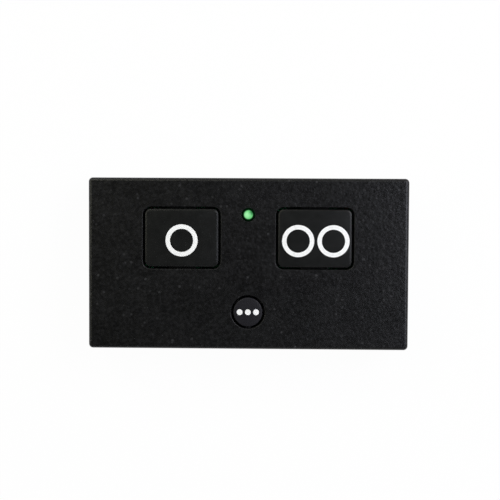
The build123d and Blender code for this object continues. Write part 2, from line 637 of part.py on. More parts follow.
def board_screws():
    """The screws that hold the board to the front housing."""
    head = pin(BOARD_SCREW_HEAD / 2, BOARD_BOTTOM - BOARD_SCREW_HEAD_HEIGHT, BOARD_BOTTOM)
    return screw_group(BOARD_BOSS_PLACES, head, BOARD_SCREW_SHANK, BOARD_SCREW_LENGTH, BOARD_BOTTOM)


def microcontroller():
    """The main chip on the back of the board, its long side along Y."""
    high = BOARD_BOTTOM - CHIP_STANDOFF
    half_width = CHIP_WIDTH / 2
    half_length = CHIP_LENGTH / 2
    body = block(-half_width, half_width, -half_length, half_length, high - CHIP_HEIGHT, high)
    body = chamfer(body.faces().sort_by(Axis.Z)[0].edges(), CHIP_PIN_SHEET)
    return Pos(-CHIP_X, CHIP_ABOVE_MIDDLE, 0) * body


def microcontroller_pins():
    """Rows of bent pins down both long sides of the main chip."""
    half_width = CHIP_WIDTH / 2
    shoulder = BOARD_BOTTOM - CHIP_STANDOFF - CHIP_HEIGHT / 2
    pins = []
    for side in (-1, 1):
        riser = sorted((side * half_width, side * (half_width + CHIP_PIN_SHEET)))
        foot = sorted((side * half_width, side * (half_width + CHIP_PIN_REACH)))
        for i in range(CHIP_PINS_PER_SIDE):
            y = (i - (CHIP_PINS_PER_SIDE - 1) / 2) * CHIP_PIN_PITCH
            pin = strip(riser[0], riser[1], y, CHIP_PIN_WIDTH, shoulder, BOARD_BOTTOM - CHIP_STANDOFF)
            pin += strip(foot[0], foot[1], y, CHIP_PIN_WIDTH, BOARD_BOTTOM - CHIP_STANDOFF, BOARD_BOTTOM)
            pins.append(Pos(-CHIP_X, CHIP_ABOVE_MIDDLE, 0) * pin)
    return Compound(pins)


def radio_chip():
    """The flat radio chip on the back of the board."""
    outline = Rectangle(RADIO_CHIP_WIDTH, RADIO_CHIP_WIDTH)
    return Pos(CHIP_X, CHIP_ABOVE_MIDDLE, 0) * slab(outline, BOARD_BOTTOM - RADIO_CHIP_HEIGHT, BOARD_BOTTOM)


def crystal():
    """The long metal crystal can beside the radio chip."""
    can = slab(SlotOverall(CRYSTAL_LENGTH, CRYSTAL_WIDTH), BOARD_BOTTOM - CRYSTAL_HEIGHT, BOARD_BOTTOM)
    can = chamfer(can.faces().sort_by(Axis.Z)[0].edges(), CRYSTAL_EDGE_BEVEL)
    return Pos(CHIP_X, CHIP_ABOVE_MIDDLE - CRYSTAL_BELOW_RADIO, 0) * can


def antenna_trace():
    """The printed loop along the top edge of the board, open at its two ends."""
    foot = TRACE_Y - TRACE_DROP
    corners = [(-TRACE_END, foot), (-TRACE_END, TRACE_Y), (TRACE_END, TRACE_Y), (TRACE_END, foot)]
    route = FilletPolyline(*corners, radius=TRACE_BEND_RADIUS)
    return slab(trace(route, TRACE_WIDTH), BOARD_TOP, BOARD_TOP + TRACE_THICKNESS)


def tuning_capacitor():
    """The small slotted trimmer beside the left end of the printed loop."""
    high = BOARD_TOP + TRIMMER_HEIGHT
    body = pin(TRIMMER_DIAMETER / 2, BOARD_TOP, high)
    slot_end = TRIMMER_DIAMETER / 2 - TRIMMER_SLOT
    body -= strip(-slot_end, slot_end, 0, TRIMMER_SLOT, high - TRIMMER_SLOT, high)
    return Pos(-TRACE_END - TRACE_WIDTH / 2 - TRIMMER_FROM_TRACE, TRACE_Y - TRACE_DROP, 0) * body


def small_part_row(count, x, y):
    """A row of small surface parts on the back of the board."""
    outline = Rectangle(SMALL_PART_WIDTH, SMALL_PART_LENGTH)
    piece = slab(outline, BOARD_BOTTOM - SMALL_PART_HEIGHT, BOARD_BOTTOM)
    return Compound(
        [Pos(x + (i - (count - 1) / 2) * SMALL_PART_PITCH, y, 0) * piece for i in range(count)]
    )


def chip_resistors():
    """The small resistors in a row under the main chip."""
    y = CHIP_ABOVE_MIDDLE - CHIP_LENGTH / 2 - SMALL_PART_LENGTH
    return small_part_row(RESISTOR_COUNT, -CHIP_X, y)


def chip_capacitors():
    """The small capacitors in a row above the radio chip."""
    y = CHIP_ABOVE_MIDDLE + RADIO_CHIP_WIDTH / 2 + SMALL_PART_LENGTH
    return small_part_row(CAPACITOR_COUNT, CHIP_X, y)


def write(name, shape):
    """Write one piece, or one group of like pieces, under its own name."""
    export_step(shape, f"parts/{name}.step")


def main():
    os.makedirs("parts", exist_ok=True)
    single_pieces = [
        front_housing,
        rear_cover,
        battery_door,
        circuit_board,
        indicator_led,
        led_leads,
        led_spacer,
        battery_holder,
        negative_contact,
        positive_contact,
        coin_cell,
        case_screws,
        board_screws,
        microcontroller,
        microcontroller_pins,
        radio_chip,
        crystal,
        antenna_trace,
        tuning_capacitor,
        chip_resistors,
        chip_capacitors,
    ]
    for make in single_pieces:
        write(make.__name__, make())
    large_cap = key_cap(key_outline, KEY_CROWN_RADIUS, KEY_TAB_WIDTH)
    caps = {"left": large_cap, "right": large_cap, "round": round_key_cap()}
    switch_pieces = {
        "base": switch_base(),
        "cover": switch_cover(),
        "plunger": switch_plunger(),
        "dome": switch_dome(),
        "terminals": switch_terminals(),
    }
    for side, (x, y) in KEY_PLACES.items():
        write(f"{side}_button_cap", Pos(x, y, 0) * caps[side])
        for piece, shape in switch_pieces.items():
            write(f"{side}_switch_{piece}", Pos(x, y, 0) * shape)


main()
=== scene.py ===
"""A three-button remote control, dressed and lit for its picture.

The remote lies on its back on a pale floor, with its button face up. Sizes are in metres,
and places come from the solid model's own boxes, so each piece sits where that model says.
"""

import json
import logging
import math
from collections.abc import Callable, Iterable
from dataclasses import dataclass
from enum import Enum

import bmesh
import bpy
from mathutils import Matrix, Vector

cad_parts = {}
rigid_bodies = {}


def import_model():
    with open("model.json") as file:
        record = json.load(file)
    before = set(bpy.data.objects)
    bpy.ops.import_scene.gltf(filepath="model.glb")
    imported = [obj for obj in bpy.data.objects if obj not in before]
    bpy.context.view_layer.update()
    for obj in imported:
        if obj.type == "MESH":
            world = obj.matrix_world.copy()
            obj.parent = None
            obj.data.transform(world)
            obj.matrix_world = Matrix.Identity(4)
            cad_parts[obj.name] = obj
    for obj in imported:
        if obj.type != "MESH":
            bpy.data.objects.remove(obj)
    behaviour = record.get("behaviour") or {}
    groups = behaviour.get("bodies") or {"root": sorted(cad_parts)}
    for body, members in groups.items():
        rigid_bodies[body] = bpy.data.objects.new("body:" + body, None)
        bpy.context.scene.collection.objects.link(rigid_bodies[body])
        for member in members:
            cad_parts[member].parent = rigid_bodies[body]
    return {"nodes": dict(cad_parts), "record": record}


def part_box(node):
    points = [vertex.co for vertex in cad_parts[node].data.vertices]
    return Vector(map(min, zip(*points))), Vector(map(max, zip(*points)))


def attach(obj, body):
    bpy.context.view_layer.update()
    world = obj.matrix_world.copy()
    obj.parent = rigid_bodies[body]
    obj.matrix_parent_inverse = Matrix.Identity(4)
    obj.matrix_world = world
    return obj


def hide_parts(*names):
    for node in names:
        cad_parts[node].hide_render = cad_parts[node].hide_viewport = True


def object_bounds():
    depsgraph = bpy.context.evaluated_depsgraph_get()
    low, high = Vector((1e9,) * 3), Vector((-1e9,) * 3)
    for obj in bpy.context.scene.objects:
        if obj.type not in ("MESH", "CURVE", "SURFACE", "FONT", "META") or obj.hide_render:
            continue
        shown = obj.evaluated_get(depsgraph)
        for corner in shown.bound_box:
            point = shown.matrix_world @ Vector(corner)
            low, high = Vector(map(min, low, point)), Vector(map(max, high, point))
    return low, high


for startup_object in list(bpy.data.objects):
    bpy.data.objects.remove(startup_object)
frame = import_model()
CAD_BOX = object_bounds()

MM = 0.001
IMAGE_WIDTH = 500

# Points of a new mesh that lie nearer together than this are made one
WELD = 0.0005 * MM
# Edges that are bent by more than this stay sharp
CREASE = math.radians(35)
# How far from a height a point may lie and still be at it
LEVEL = 0.001 * MM
# Where most values of a soft noise lie
NOISE_RANGE = (0.3, 0.7)
# About the width of a Wave texture's band at a scale of 1
WAVE_BAND = 0.3
# The cosines of the bend at a wholly worn edge and on a face that is still flat
WORN_COSINE, FLAT_COSINE = 0.80, 0.995
BEVEL_SAMPLES = 6
# The sockets of a Mix node for colours, by number, because their names repeat
MIX_SHARE, MIX_FIRST, MIX_SECOND, MIX_RESULT = 0, 6, 7, 2
SURFACE_INPUTS = {
    "base_colour": "Base Color",
    "roughness": "Roughness",
    "metallic": "Metallic",
    "specular": "Specular IOR Level",
    "glow": "Emission Color",
    "glow_strength": "Emission Strength",
    "normal": "Normal",
}

Colour = tuple[float, float, float]
Span = tuple[float, float]
# Two ends of a value, and what they are mapped to
Ramp = tuple[float, float, float, float]
Material = bpy.types.Material
Node = bpy.types.Node
Socket = bpy.types.NodeSocket
Value = float | Colour | Vector | Socket
Shape = bmesh.types.BMesh
Edge = bmesh.types.BMEdge
Vertex = bmesh.types.BMVert

WHITE: Colour = (1.0, 1.0, 1.0)

log = logging.getLogger("remote_control")


class Side(Enum):
    """The two large keys, by the side of the face that they are on."""

    LEFT = "left"
    RIGHT = "right"


class Brushing(Enum):
    """Which way the noise of a brushed finish is drawn out, as its scale on each axis."""

    ALONG_X = (0.06, 1.0, 1.0)
    ALONG_Y = (1.0, 0.06, 1.0)
    EVEN = (1.0, 1.0, 1.0)


def grey(level: float) -> Colour:
    """A colour without a hue."""
    return (level, level, level)


class Recipe:
    """One node material, built step by step on Object coordinates."""

    def __init__(self, name: str) -> None:
        """Start a material with one principled surface.

        Args:
            name: The material's name.
        """
        self.material = bpy.data.materials.new(name)
        self.material.use_nodes = True
        self.tree = self.material.node_tree
        self.tree.nodes.clear()
        self.surface = self.node("ShaderNodeBsdfPrincipled")
        self.output = self.node("ShaderNodeOutputMaterial", {"Surface": self.surface.outputs["BSDF"]})
        self.place = self.node("ShaderNodeTexCoord").outputs["Object"]

    def node(self, kind: str, feeds: dict[str | int, Value] | None = None, **settings: object) -> Node:
        """Add a node.

        Args:
            kind: The node's type name.
            feeds: What goes into its inputs, by their names or numbers.
            **settings: Properties to set on it.

        Returns:
            The new node.
        """
        made = self.tree.nodes.new(kind)
        for key, value in settings.items():
            setattr(made, key, value)
        for key, value in (feeds or {}).items():
            self.feed(made.inputs[key], value)
        return made

    def feed(self, socket: Socket, value: Value) -> None:
        """Give an input a link, a number or a colour.

        Args:
            socket: The input to set.
            value: Another node's output, a number, or three numbers.
        """
        if isinstance(value, Socket):
            self.tree.links.new(value, socket)
        elif isinstance(value, tuple) and socket.type == "RGBA":
            socket.default_value = (*value, 1.0)
        else:
            socket.default_value = value

    def dress(self, **values: Value) -> None:
        """Set inputs of the surface, by their keys in SURFACE_INPUTS."""
        for key, value in values.items():
            self.feed(self.surface.inputs[SURFACE_INPUTS[key]], value)

    def mapped(self, setting: str, amount: Colour | Vector) -> Socket:
        """Object coordinates with a Location or a Scale of their own."""
        return self.node("ShaderNodeMapping", {"Vector": self.place, setting: amount}).outputs["Vector"]

    def axis(self, name: str) -> Socket:
        """One of Object coordinates, X, Y or Z."""
        return self.node("ShaderNodeSeparateXYZ", {"Vector": self.place}).outputs[name]

    def noise(self, size: float, detail: float = 2.0, place: Socket | None = None) -> Socket:
        """Soft noise about 0.5, on the given coordinates or else the object's own."""
        feeds = {"Vector": place or self.place, "Scale": 1 / size, "Detail": detail}
        return self.node("ShaderNodeTexNoise", feeds).outputs["Fac"]

    def cells(self, size: float, feature: str = "F1") -> Node:
        """A pattern of cells, whose Distance and Color outputs serve."""
        return self.node("ShaderNodeTexVoronoi", {"Vector": self.place, "Scale": 1 / size}, feature=feature)

    def spread(
        self, value: Value, low: float, high: float, start: float = 0.0, end: float = 1.0
    ) -> Socket:
        """Map a value, so that low gives start and high gives end, and keep it between them."""
        feeds = {"Value": value, "From Min": low, "From Max": high, "To Min": start, "To Max": end}
        return self.node("ShaderNodeMapRange", feeds).outputs["Result"]

    def stretched(self, noise: Socket, start: float = 0.0, end: float = 1.0) -> Socket:
        """Stretch the usual range of a noise over a new range."""
        return self.spread(noise, *NOISE_RANGE, start, end)

    def combine(self, operation: str, first: Value, second: Value) -> Socket:
        """Work out one number from two with a Math node's operation."""
        return self.node("ShaderNodeMath", {0: first, 1: second}, operation=operation).outputs["Value"]

    def plus(self, first: Value, second: Value) -> Socket:
        """Add two numbers."""
        return self.combine("ADD", first, second)

    def times(self, first: Value, second: Value) -> Socket:
        """Multiply two numbers."""
        return self.combine("MULTIPLY", first, second)

    def blend(self, share: Value, first: Value, second: Value) -> Socket:
        """Mix two colours by the share of the second."""
        feeds = {MIX_SHARE: share, MIX_FIRST: first, MIX_SECOND: second}
        return self.node("ShaderNodeMix", feeds, data_type="RGBA").outputs[MIX_RESULT]

    def rounded(self, radius: float) -> Socket:
        """The surface's own direction with its edges rounded off by a small radius."""
        return self.node("ShaderNodeBevel", {"Radius": radius}, samples=BEVEL_SAMPLES).outputs["Normal"]

    def wear(self, radius: float) -> Socket:
        """Find the edges that hands and pockets polish.

        Args:
            radius: How far the polish reaches from an edge.

        Returns:
            1 on worn edges and 0 on flat faces.
        """
        own = self.node("ShaderNodeNewGeometry").outputs["Normal"]
        bend = self.node("ShaderNodeVectorMath", {0: self.rounded(radius), 1: own}, operation="DOT_PRODUCT")
        return self.spread(bend.outputs["Value"], WORN_COSINE, FLAT_COSINE, 1.0, 0.0)

    def reach(self, line: Vector, unit: float) -> Socket:
        """Measure how far a point lies from an upright line.

        Args:
            line: A point on the line.
            unit: The length that counts as 1.

        Returns:
            The distance in units.
        """
        feeds = {0: self.mapped("Location", -line), 1: (1 / unit, 1 / unit, 0.0)}
        flat = self.node("ShaderNodeVectorMath", feeds, operation="MULTIPLY").outputs["Vector"]
        return self.node("ShaderNodeVectorMath", {0: flat}, operation="LENGTH").outputs["Value"]

    def relief(self, height: Socket, depth: float, edge_radius: float) -> None:
        """Give the surface a fine relief of a height from 0 to 1 over softly rounded edges."""
        feeds = {"Strength": 1.0, "Distance": depth, "Height": height, "Normal": self.rounded(edge_radius)}
        self.dress(normal=self.node("ShaderNodeBump", feeds).outputs["Normal"])


@dataclass(frozen=True)
class PebbledPlastic:
    """Black moulded plastic with a pebbled, spark-eroded grain.

    Small clouds and broad patches share its tone from low to high. Flecks are the pale points
    of the grain, in some of their cells only. Scales are in widths of a pebble.
    """

    name: str
    low: Colour
    high: Colour
    fleck: Colour
    pebble: float
    depth: float
    roughness: Span
    specular: float = 0.32
    cloud_scale: float = 1.1
    cloud_ramp: Ramp = (0.45, 0.62, 0.0, 0.7)
    patch_size: float = 14 * MM
    patch_ramp: Ramp = (0.35, 0.65, 0.0, 0.3)
    fleck_spacing: float = 2.0 * MM
    fleck_radius: float = 0.11
    fleck_fade: float = 2.2
    fleck_ramp: Ramp = (0.4, 1.0, 0.0, 0.7)
    gloss_scale: float = 2.0
    wear_radius: float = 0.35 * MM
    wear_share: float = 0.35
    wear_polish: float = 0.10
    stone_ramp: Ramp = (0.0, 0.8, 0.7, 0.0)
    fine_scale: float = 1 / 3
    fine_height: float = 0.5
    edge_radius: float = 0.12 * MM

    def material(self) -> Material:
        """Build the grain, its shading, its scattered flecks and the polished edges.

        Returns:
            The material.
        """
        recipe = Recipe(self.name)
        cloud = recipe.noise(self.pebble * self.cloud_scale, detail=4.0)
        patches = recipe.noise(self.patch_size)
        tone = recipe.plus(recipe.spread(cloud, *self.cloud_ramp), recipe.spread(patches, *self.patch_ramp))
        flecks = recipe.cells(self.fleck_spacing)
        rim = self.fleck_radius * self.fleck_fade
        near = recipe.spread(flecks.outputs["Distance"], self.fleck_radius, rim, 1.0, 0.0)
        split = recipe.node("ShaderNodeSeparateColor", {"Color": flecks.outputs["Color"]})
        chosen = recipe.spread(split.outputs["Red"], *self.fleck_ramp)
        worn = recipe.wear(self.wear_radius)
        body = recipe.blend(tone, self.low, self.high)
        body = recipe.blend(recipe.times(worn, self.wear_share), body, self.fleck)
        body = recipe.blend(recipe.times(near, chosen), body, self.fleck)
        gloss = recipe.stretched(recipe.noise(self.pebble * self.gloss_scale, detail=3.0), *self.roughness)
        gloss = recipe.combine("SUBTRACT", gloss, recipe.times(worn, self.wear_polish))
        stones = recipe.spread(recipe.cells(self.pebble, "SMOOTH_F1").outputs["Distance"], *self.stone_ramp)
        fine = recipe.noise(self.pebble * self.fine_scale, detail=3.0)
        recipe.dress(base_colour=body, roughness=gloss, specular=self.specular)
        height = recipe.plus(stones, recipe.times(fine, self.fine_height))
        recipe.relief(height, self.depth, self.edge_radius)
        return recipe.material


@dataclass(frozen=True)
class SatinPlastic:
    """Smooth moulded plastic with a silky skin, faint clouding and rubbed edges."""

    name: str
    low: Colour
    high: Colour
    rubbed: Colour
    roughness: Span
    specular: float = 0.28
    cloud_size: float = 4 * MM
    gloss_size: float = 1.5 * MM
    grain: float = 0.16 * MM
    depth: float = 0.0012 * MM
    wear_radius: float = 0.4 * MM
    wear_share: float = 0.5
    edge_radius: float = 0.10 * MM

    def material(self) -> Material:
        """Build the clouding, the fine skin and the rubbed edges.

        Returns:
            The material.
        """
        recipe = Recipe(self.name)
        cloud = recipe.stretched(recipe.noise(self.cloud_size, detail=3.0))
        worn = recipe.times(recipe.wear(self.wear_radius), self.wear_share)
        body = recipe.blend(worn, recipe.blend(cloud, self.low, self.high), self.rubbed)
        gloss = recipe.stretched(recipe.noise(self.gloss_size, detail=4.0), *self.roughness)
        recipe.dress(base_colour=body, roughness=gloss, specular=self.specular)
        recipe.relief(recipe.noise(self.grain, detail=3.0), self.depth, self.edge_radius)
        return recipe.material


@dataclass(frozen=True)
class PlatedMetal:
    """Plated or bare metal, brushed one way, with dull patches and brighter edges."""

    name: str
    clean: Colour
    dull: Colour
    roughness: Span
    brushing: Brushing = Brushing.EVEN
    grain: float = 0.12 * MM
    depth: float = 0.0015 * MM
    patch_size: float = 2.2 * MM
    patch_range: Span = (0.35, 0.7)
    wear_radius: float = 0.15 * MM
    wear_share: float = 0.6
    edge_radius: float = 0.05 * MM

    def material(self) -> Material:
        """Build the brushing, the dull patches and the edges.

        Returns:
            The material.
        """
        recipe = Recipe(self.name)
        brushed = recipe.noise(self.grain, detail=4.0, place=recipe.mapped("Scale", self.brushing.value))
        patches = recipe.spread(recipe.noise(self.patch_size, detail=4.0), *self.patch_range)
        worn = recipe.times(recipe.wear(self.wear_radius), self.wear_share)
        body = recipe.blend(worn, recipe.blend(patches, self.clean, self.dull), self.clean)
        recipe.dress(base_colour=body, roughness=recipe.stretched(brushed, *self.roughness), metallic=1.0)
        recipe.relief(brushed, self.depth, self.edge_radius)
        return recipe.material


@dataclass(frozen=True)
class FiredCeramic:
    """Ceramic or epoxy of a small board part, slightly uneven in colour."""

    name: str
    low: Colour
    high: Colour
    roughness: Span
    patch_size: float = 0.9 * MM
    grain: float = 0.10 * MM
    depth: float = 0.003 * MM
    edge_radius: float = 0.05 * MM

    def material(self) -> Material:
        """Build the uneven colour and the fine tooth.

        Returns:
            The material.
        """
        recipe = Recipe(self.name)
        patches = recipe.stretched(recipe.noise(self.patch_size, detail=4.0))
        fine = recipe.noise(self.grain, detail=3.0)
        body = recipe.blend(patches, self.low, self.high)
        recipe.dress(base_colour=body, roughness=recipe.stretched(fine, *self.roughness))
        recipe.relief(fine, self.depth, self.edge_radius)
        return recipe.material


@dataclass(frozen=True)
class SolderMask:
    """Green lacquer over glass cloth, with the copper's edges faint beneath it."""

    name: str = "green_solder_mask"
    over_glass: Colour = (0.006, 0.070, 0.026)
    over_copper: Colour = (0.012, 0.115, 0.042)
    over_thread: Colour = (0.02, 0.13, 0.055)
    cut_edge: Colour = (0.30, 0.27, 0.13)
    thread: float = 0.45 * MM
    thread_share: float = 0.25
    copper_size: float = 5.5 * MM
    copper_edge: Span = (0.10, 0.13)
    skin: float = 0.05 * MM
    roughness: Span = (0.22, 0.34)
    depth: float = 0.01 * MM
    edge_radius: float = 0.05 * MM

    def material(self) -> Material:
        """Build the woven glass, the copper areas and the bare cut edge between the faces.

        Returns:
            The material.
        """
        recipe = Recipe(self.name)
        weave = []
        for way in ("X", "Y"):
            feeds = {"Vector": recipe.place, "Scale": WAVE_BAND / self.thread}
            wave = recipe.node("ShaderNodeTexWave", feeds, wave_type="BANDS", bands_direction=way)
            weave.append(wave.outputs["Fac"])
        cloth = recipe.times(*weave)
        copper = recipe.cells(self.copper_size, "DISTANCE_TO_EDGE").outputs["Distance"]
        copper = recipe.spread(copper, *self.copper_edge)
        body = recipe.blend(copper, self.over_glass, self.over_copper)
        body = recipe.blend(recipe.times(cloth, self.thread_share), body, self.over_thread)
        low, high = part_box("circuit_board")
        height = recipe.axis("Z")
        above = recipe.spread(height, low.z, low.z + self.skin)
        below = recipe.spread(height, high.z - self.skin, high.z, 1.0, 0.0)
        body = recipe.blend(recipe.times(above, below), body, self.cut_edge)
        recipe.dress(base_colour=body, roughness=recipe.spread(cloth, 0.0, 1.0, *self.roughness))
        recipe.relief(recipe.plus(copper, cloth), self.depth, self.edge_radius)
        return recipe.material


@dataclass(frozen=True)
class LitResin:
    """Green tinted resin of the lamp, glowing from the chip at its middle.

    Places, reaches and the unevenness are in radii of the lamp. Places count from its axis.
    """

    name: str = "lit_green_resin"
    body: Colour = (0.008, 0.10, 0.022)
    heart: Colour = (0.40, 0.95, 0.45)
    middle: Colour = (0.20, 0.70, 0.25)
    # Painted shade: a darker green painted on one side of the dome
    shade: Colour = (0.018, 0.15, 0.045)
    # Painted shadow: a nearly black ring painted at the dome's rim
    rim: Colour = (0.0, 0.009, 0.002)
    strength: float = 0.82
    heart_place: Span = (-0.30, -0.05)
    heart_reach: Span = (0.25, 0.80)
    shade_place: Span = (0.62, 0.42)
    shade_ramp: Ramp = (0.15, 0.68, 0.85, 0.0)
    rim_shadow_reach: Span = (0.75, 0.95)
    unevenness: float = 0.07
    cloud_size: float = 0.7 * MM
    gloss_size: float = 0.5 * MM
    roughness: Span = (0.26, 0.34)
    specular: float = 0.3
    ripple: float = 0.9 * MM
    depth: float = 0.004 * MM
    edge_radius: float = 0.03 * MM

    def material(self, axis: Vector, radius: float) -> Material:
        """Build the glow, brightest on the lamp's axis, with painted shade on one side and a painted shadow
        that darkens its rim.

        Args:
            axis: A point on the lamp's upright axis.
            radius: The lamp's radius.

        Returns:
            The material.
        """
        recipe = Recipe(self.name)
        uneven = recipe.stretched(recipe.noise(self.cloud_size), -self.unevenness, self.unevenness)
        from_heart, from_shade, from_axis = (
            recipe.reach(axis + Vector((*place, 0.0)) * radius, radius)
            for place in (self.heart_place, self.shade_place, (0.0, 0.0))
        )
        cooled = recipe.spread(recipe.plus(from_heart, uneven), *self.heart_reach)
        shaded = recipe.spread(recipe.plus(from_shade, uneven), *self.shade_ramp)
        # Painted shade on one side, and a painted shadow that darkens the glow to nearly black at the rim
        rim_shadow_share = recipe.spread(from_axis, *self.rim_shadow_reach)
        glow = recipe.blend(cooled, self.heart, self.middle)
        glow = recipe.blend(shaded, glow, self.shade)
        glow = recipe.blend(rim_shadow_share, glow, self.rim)
        gloss = recipe.stretched(recipe.noise(self.gloss_size), *self.roughness)
        recipe.dress(base_colour=self.body, roughness=gloss, specular=self.specular)
        recipe.dress(glow=glow, glow_strength=self.strength)
        recipe.relief(recipe.noise(self.ripple), self.depth, self.edge_radius)
        return recipe.material


@dataclass(frozen=True)
class PrintedInk:
    """White pad-printed ink, a little thin in places."""

    name: str = "white_printed_ink"
    full: Colour = grey(0.93)
    thin: Colour = grey(0.80)
    thin_range: Span = (0.50, 0.75)
    cloud_size: float = 0.8 * MM
    roughness: Span = (0.45, 0.60)
    specular: float = 0.2
    tooth: float = 0.12 * MM
    depth: float = 0.001 * MM
    edge_radius: float = 0.01 * MM

    def material(self) -> Material:
        """Build the ink with its thin places and fine tooth.

        Returns:
            The material.
        """
        recipe = Recipe(self.name)
        cloud = recipe.noise(self.cloud_size, detail=4.0)
        body = recipe.blend(recipe.spread(cloud, *self.thin_range), self.full, self.thin)
        gloss = recipe.stretched(cloud, *self.roughness)
        recipe.dress(base_colour=body, roughness=gloss, specular=self.specular)
        recipe.relief(recipe.noise(self.tooth), self.depth, self.edge_radius)
        return recipe.material


@dataclass(frozen=True)
class FloorPaper:
    """Pale paper that shows nearly white and keeps the remote's shadow.

    Under the case it doesn't glow, so the seams of the case above it stay dark.
    """

    name: str = "pale_floor_paper"
    colour: Colour = grey(0.90)
    roughness: float = 0.9
    glow_share: float = 0.972
    shade_inset: float = 0.8 * MM

    def material(self) -> Material:
        """Build matt paper that glows where it is seen directly, in a mirror or through glass.

        Returns:
            The material.
        """
        recipe = Recipe(self.name)
        recipe.dress(base_colour=self.colour, roughness=self.roughness, specular=0.0)
        path = recipe.node("ShaderNodeLightPath")
        seen = recipe.plus(path.outputs["Is Camera Ray"], path.outputs["Is Glossy Ray"])
        seen = recipe.combine("MINIMUM", recipe.plus(seen, path.outputs["Is Transmission Ray"]), 1.0)
        outside = []
        for axis, half in zip("XY", CAD_BOX[1]):
            away = recipe.combine("ABSOLUTE", recipe.axis(axis), 0.0)
            outside.append(recipe.spread(away, half - self.shade_inset, half - self.shade_inset / 2))
        clear = recipe.combine("MAXIMUM", *outside)
        share = recipe.times(recipe.times(seen, self.glow_share), clear)
        glow = recipe.node("ShaderNodeEmission", {"Color": WHITE, "Strength": 1.0}).outputs["Emission"]
        mixed = recipe.node("ShaderNodeMixShader", {0: share, 1: recipe.surface.outputs["BSDF"], 2: glow})
        recipe.feed(recipe.output.inputs["Surface"], mixed.outputs["Shader"])
        return recipe.material


CASE_PLASTIC = PebbledPlastic(
    name="pebbled_case_plastic",
    low=(0.0003, 0.0003, 0.0004),
    high=(0.0072, 0.0072, 0.0078),
    fleck=(0.036, 0.036, 0.038),
    pebble=0.85 * MM,
    depth=0.060 * MM,
    roughness=(0.33, 0.41),
)
BACK_PLASTIC = PebbledPlastic(
    name="spark_eroded_back_plastic",
    low=(0.0050, 0.0050, 0.0052),
    high=(0.0110, 0.0110, 0.0115),
    fleck=grey(0.022),
    pebble=0.50 * MM,
    depth=0.018 * MM,
    roughness=(0.55, 0.68),
)
KEY_PLASTIC = SatinPlastic(
    name="satin_key_plastic",
    low=(0.0048, 0.0051, 0.0050),
    high=(0.0084, 0.0088, 0.0086),
    rubbed=grey(0.016),
    roughness=(0.33, 0.38),
    specular=0.25,
    edge_radius=0.8 * MM,
)
ROUND_KEY_PLASTIC = SatinPlastic(
    name="satin_round_key_plastic",
    low=(0.0140, 0.0136, 0.0162),
    high=(0.0164, 0.0160, 0.0190),
    rubbed=(0.022, 0.022, 0.025),
    roughness=(0.36, 0.42),
    specular=0.12,
)
INNER_PLASTICS = {
    "spacer_nylon": SatinPlastic("black_spacer_nylon", grey(0.012), grey(0.020), grey(0.03), (0.45, 0.6)),
    "holder_plastic": SatinPlastic("filled_holder_nylon", grey(0.010), grey(0.016), grey(0.03), (0.4, 0.55)),
    "switch_plastic": SatinPlastic("switch_resin", grey(0.012), grey(0.018), grey(0.03), (0.4, 0.5)),
    "plunger_plastic": SatinPlastic("plunger_resin", grey(0.018), grey(0.026), grey(0.04), (0.35, 0.45)),
}
METALS = {
    "tinned_metal": PlatedMetal("dull_tin_plate", (0.66, 0.66, 0.64), (0.48, 0.48, 0.46), (0.32, 0.48)),
    "contact_metal": PlatedMetal(
        "nickel_contact_strip", (0.68, 0.66, 0.61), (0.54, 0.52, 0.47), (0.20, 0.36), Brushing.ALONG_X
    ),
    "cell_metal": PlatedMetal("nickel_cell_can", (0.72, 0.72, 0.71), (0.58, 0.58, 0.57), (0.18, 0.32)),
    "screw_steel": PlatedMetal("zinc_screw_steel", (0.34, 0.34, 0.35), (0.20, 0.20, 0.21), (0.30, 0.48)),
    "crystal_metal": PlatedMetal(
        "drawn_crystal_can", (0.66, 0.65, 0.63), (0.52, 0.51, 0.49), (0.22, 0.38), Brushing.ALONG_X
    ),
    "copper_trace": PlatedMetal("dulled_copper", (0.16, 0.12, 0.05), (0.10, 0.07, 0.03), (0.40, 0.55)),
    "switch_metal": PlatedMetal(
        "stamped_switch_sheet", (0.66, 0.66, 0.65), (0.50, 0.50, 0.49), (0.22, 0.38), Brushing.ALONG_Y
    ),
}
CERAMICS = {
    "chip_epoxy": FiredCeramic(
        "matt_chip_epoxy", (0.012, 0.012, 0.013), (0.022, 0.022, 0.023), (0.55, 0.70)
    ),
    "trimmer_ceramic": FiredCeramic(
        "trimmer_body", (0.030, 0.028, 0.026), (0.042, 0.040, 0.038), (0.40, 0.55)
    ),
    "resistor_ceramic": FiredCeramic(
        "coated_resistors", (0.010, 0.010, 0.011), (0.030, 0.030, 0.032), (0.30, 0.50)
    ),
    "capacitor_ceramic": FiredCeramic(
        "bare_capacitors", (0.42, 0.29, 0.17), (0.54, 0.38, 0.23), (0.45, 0.60)
    ),
}
FINISHES: dict[str, Callable[[], Material]] = {
    "case_plastic": CASE_PLASTIC.material,
    "back_plastic": BACK_PLASTIC.material,
    "key_plastic": KEY_PLASTIC.material,
    "round_key_plastic": ROUND_KEY_PLASTIC.material,
    "board_laminate": SolderMask().material,
    "ink": PrintedInk().material,
    **{slot: finish.material for slot, finish in (INNER_PLASTICS | METALS | CERAMICS).items()},
}


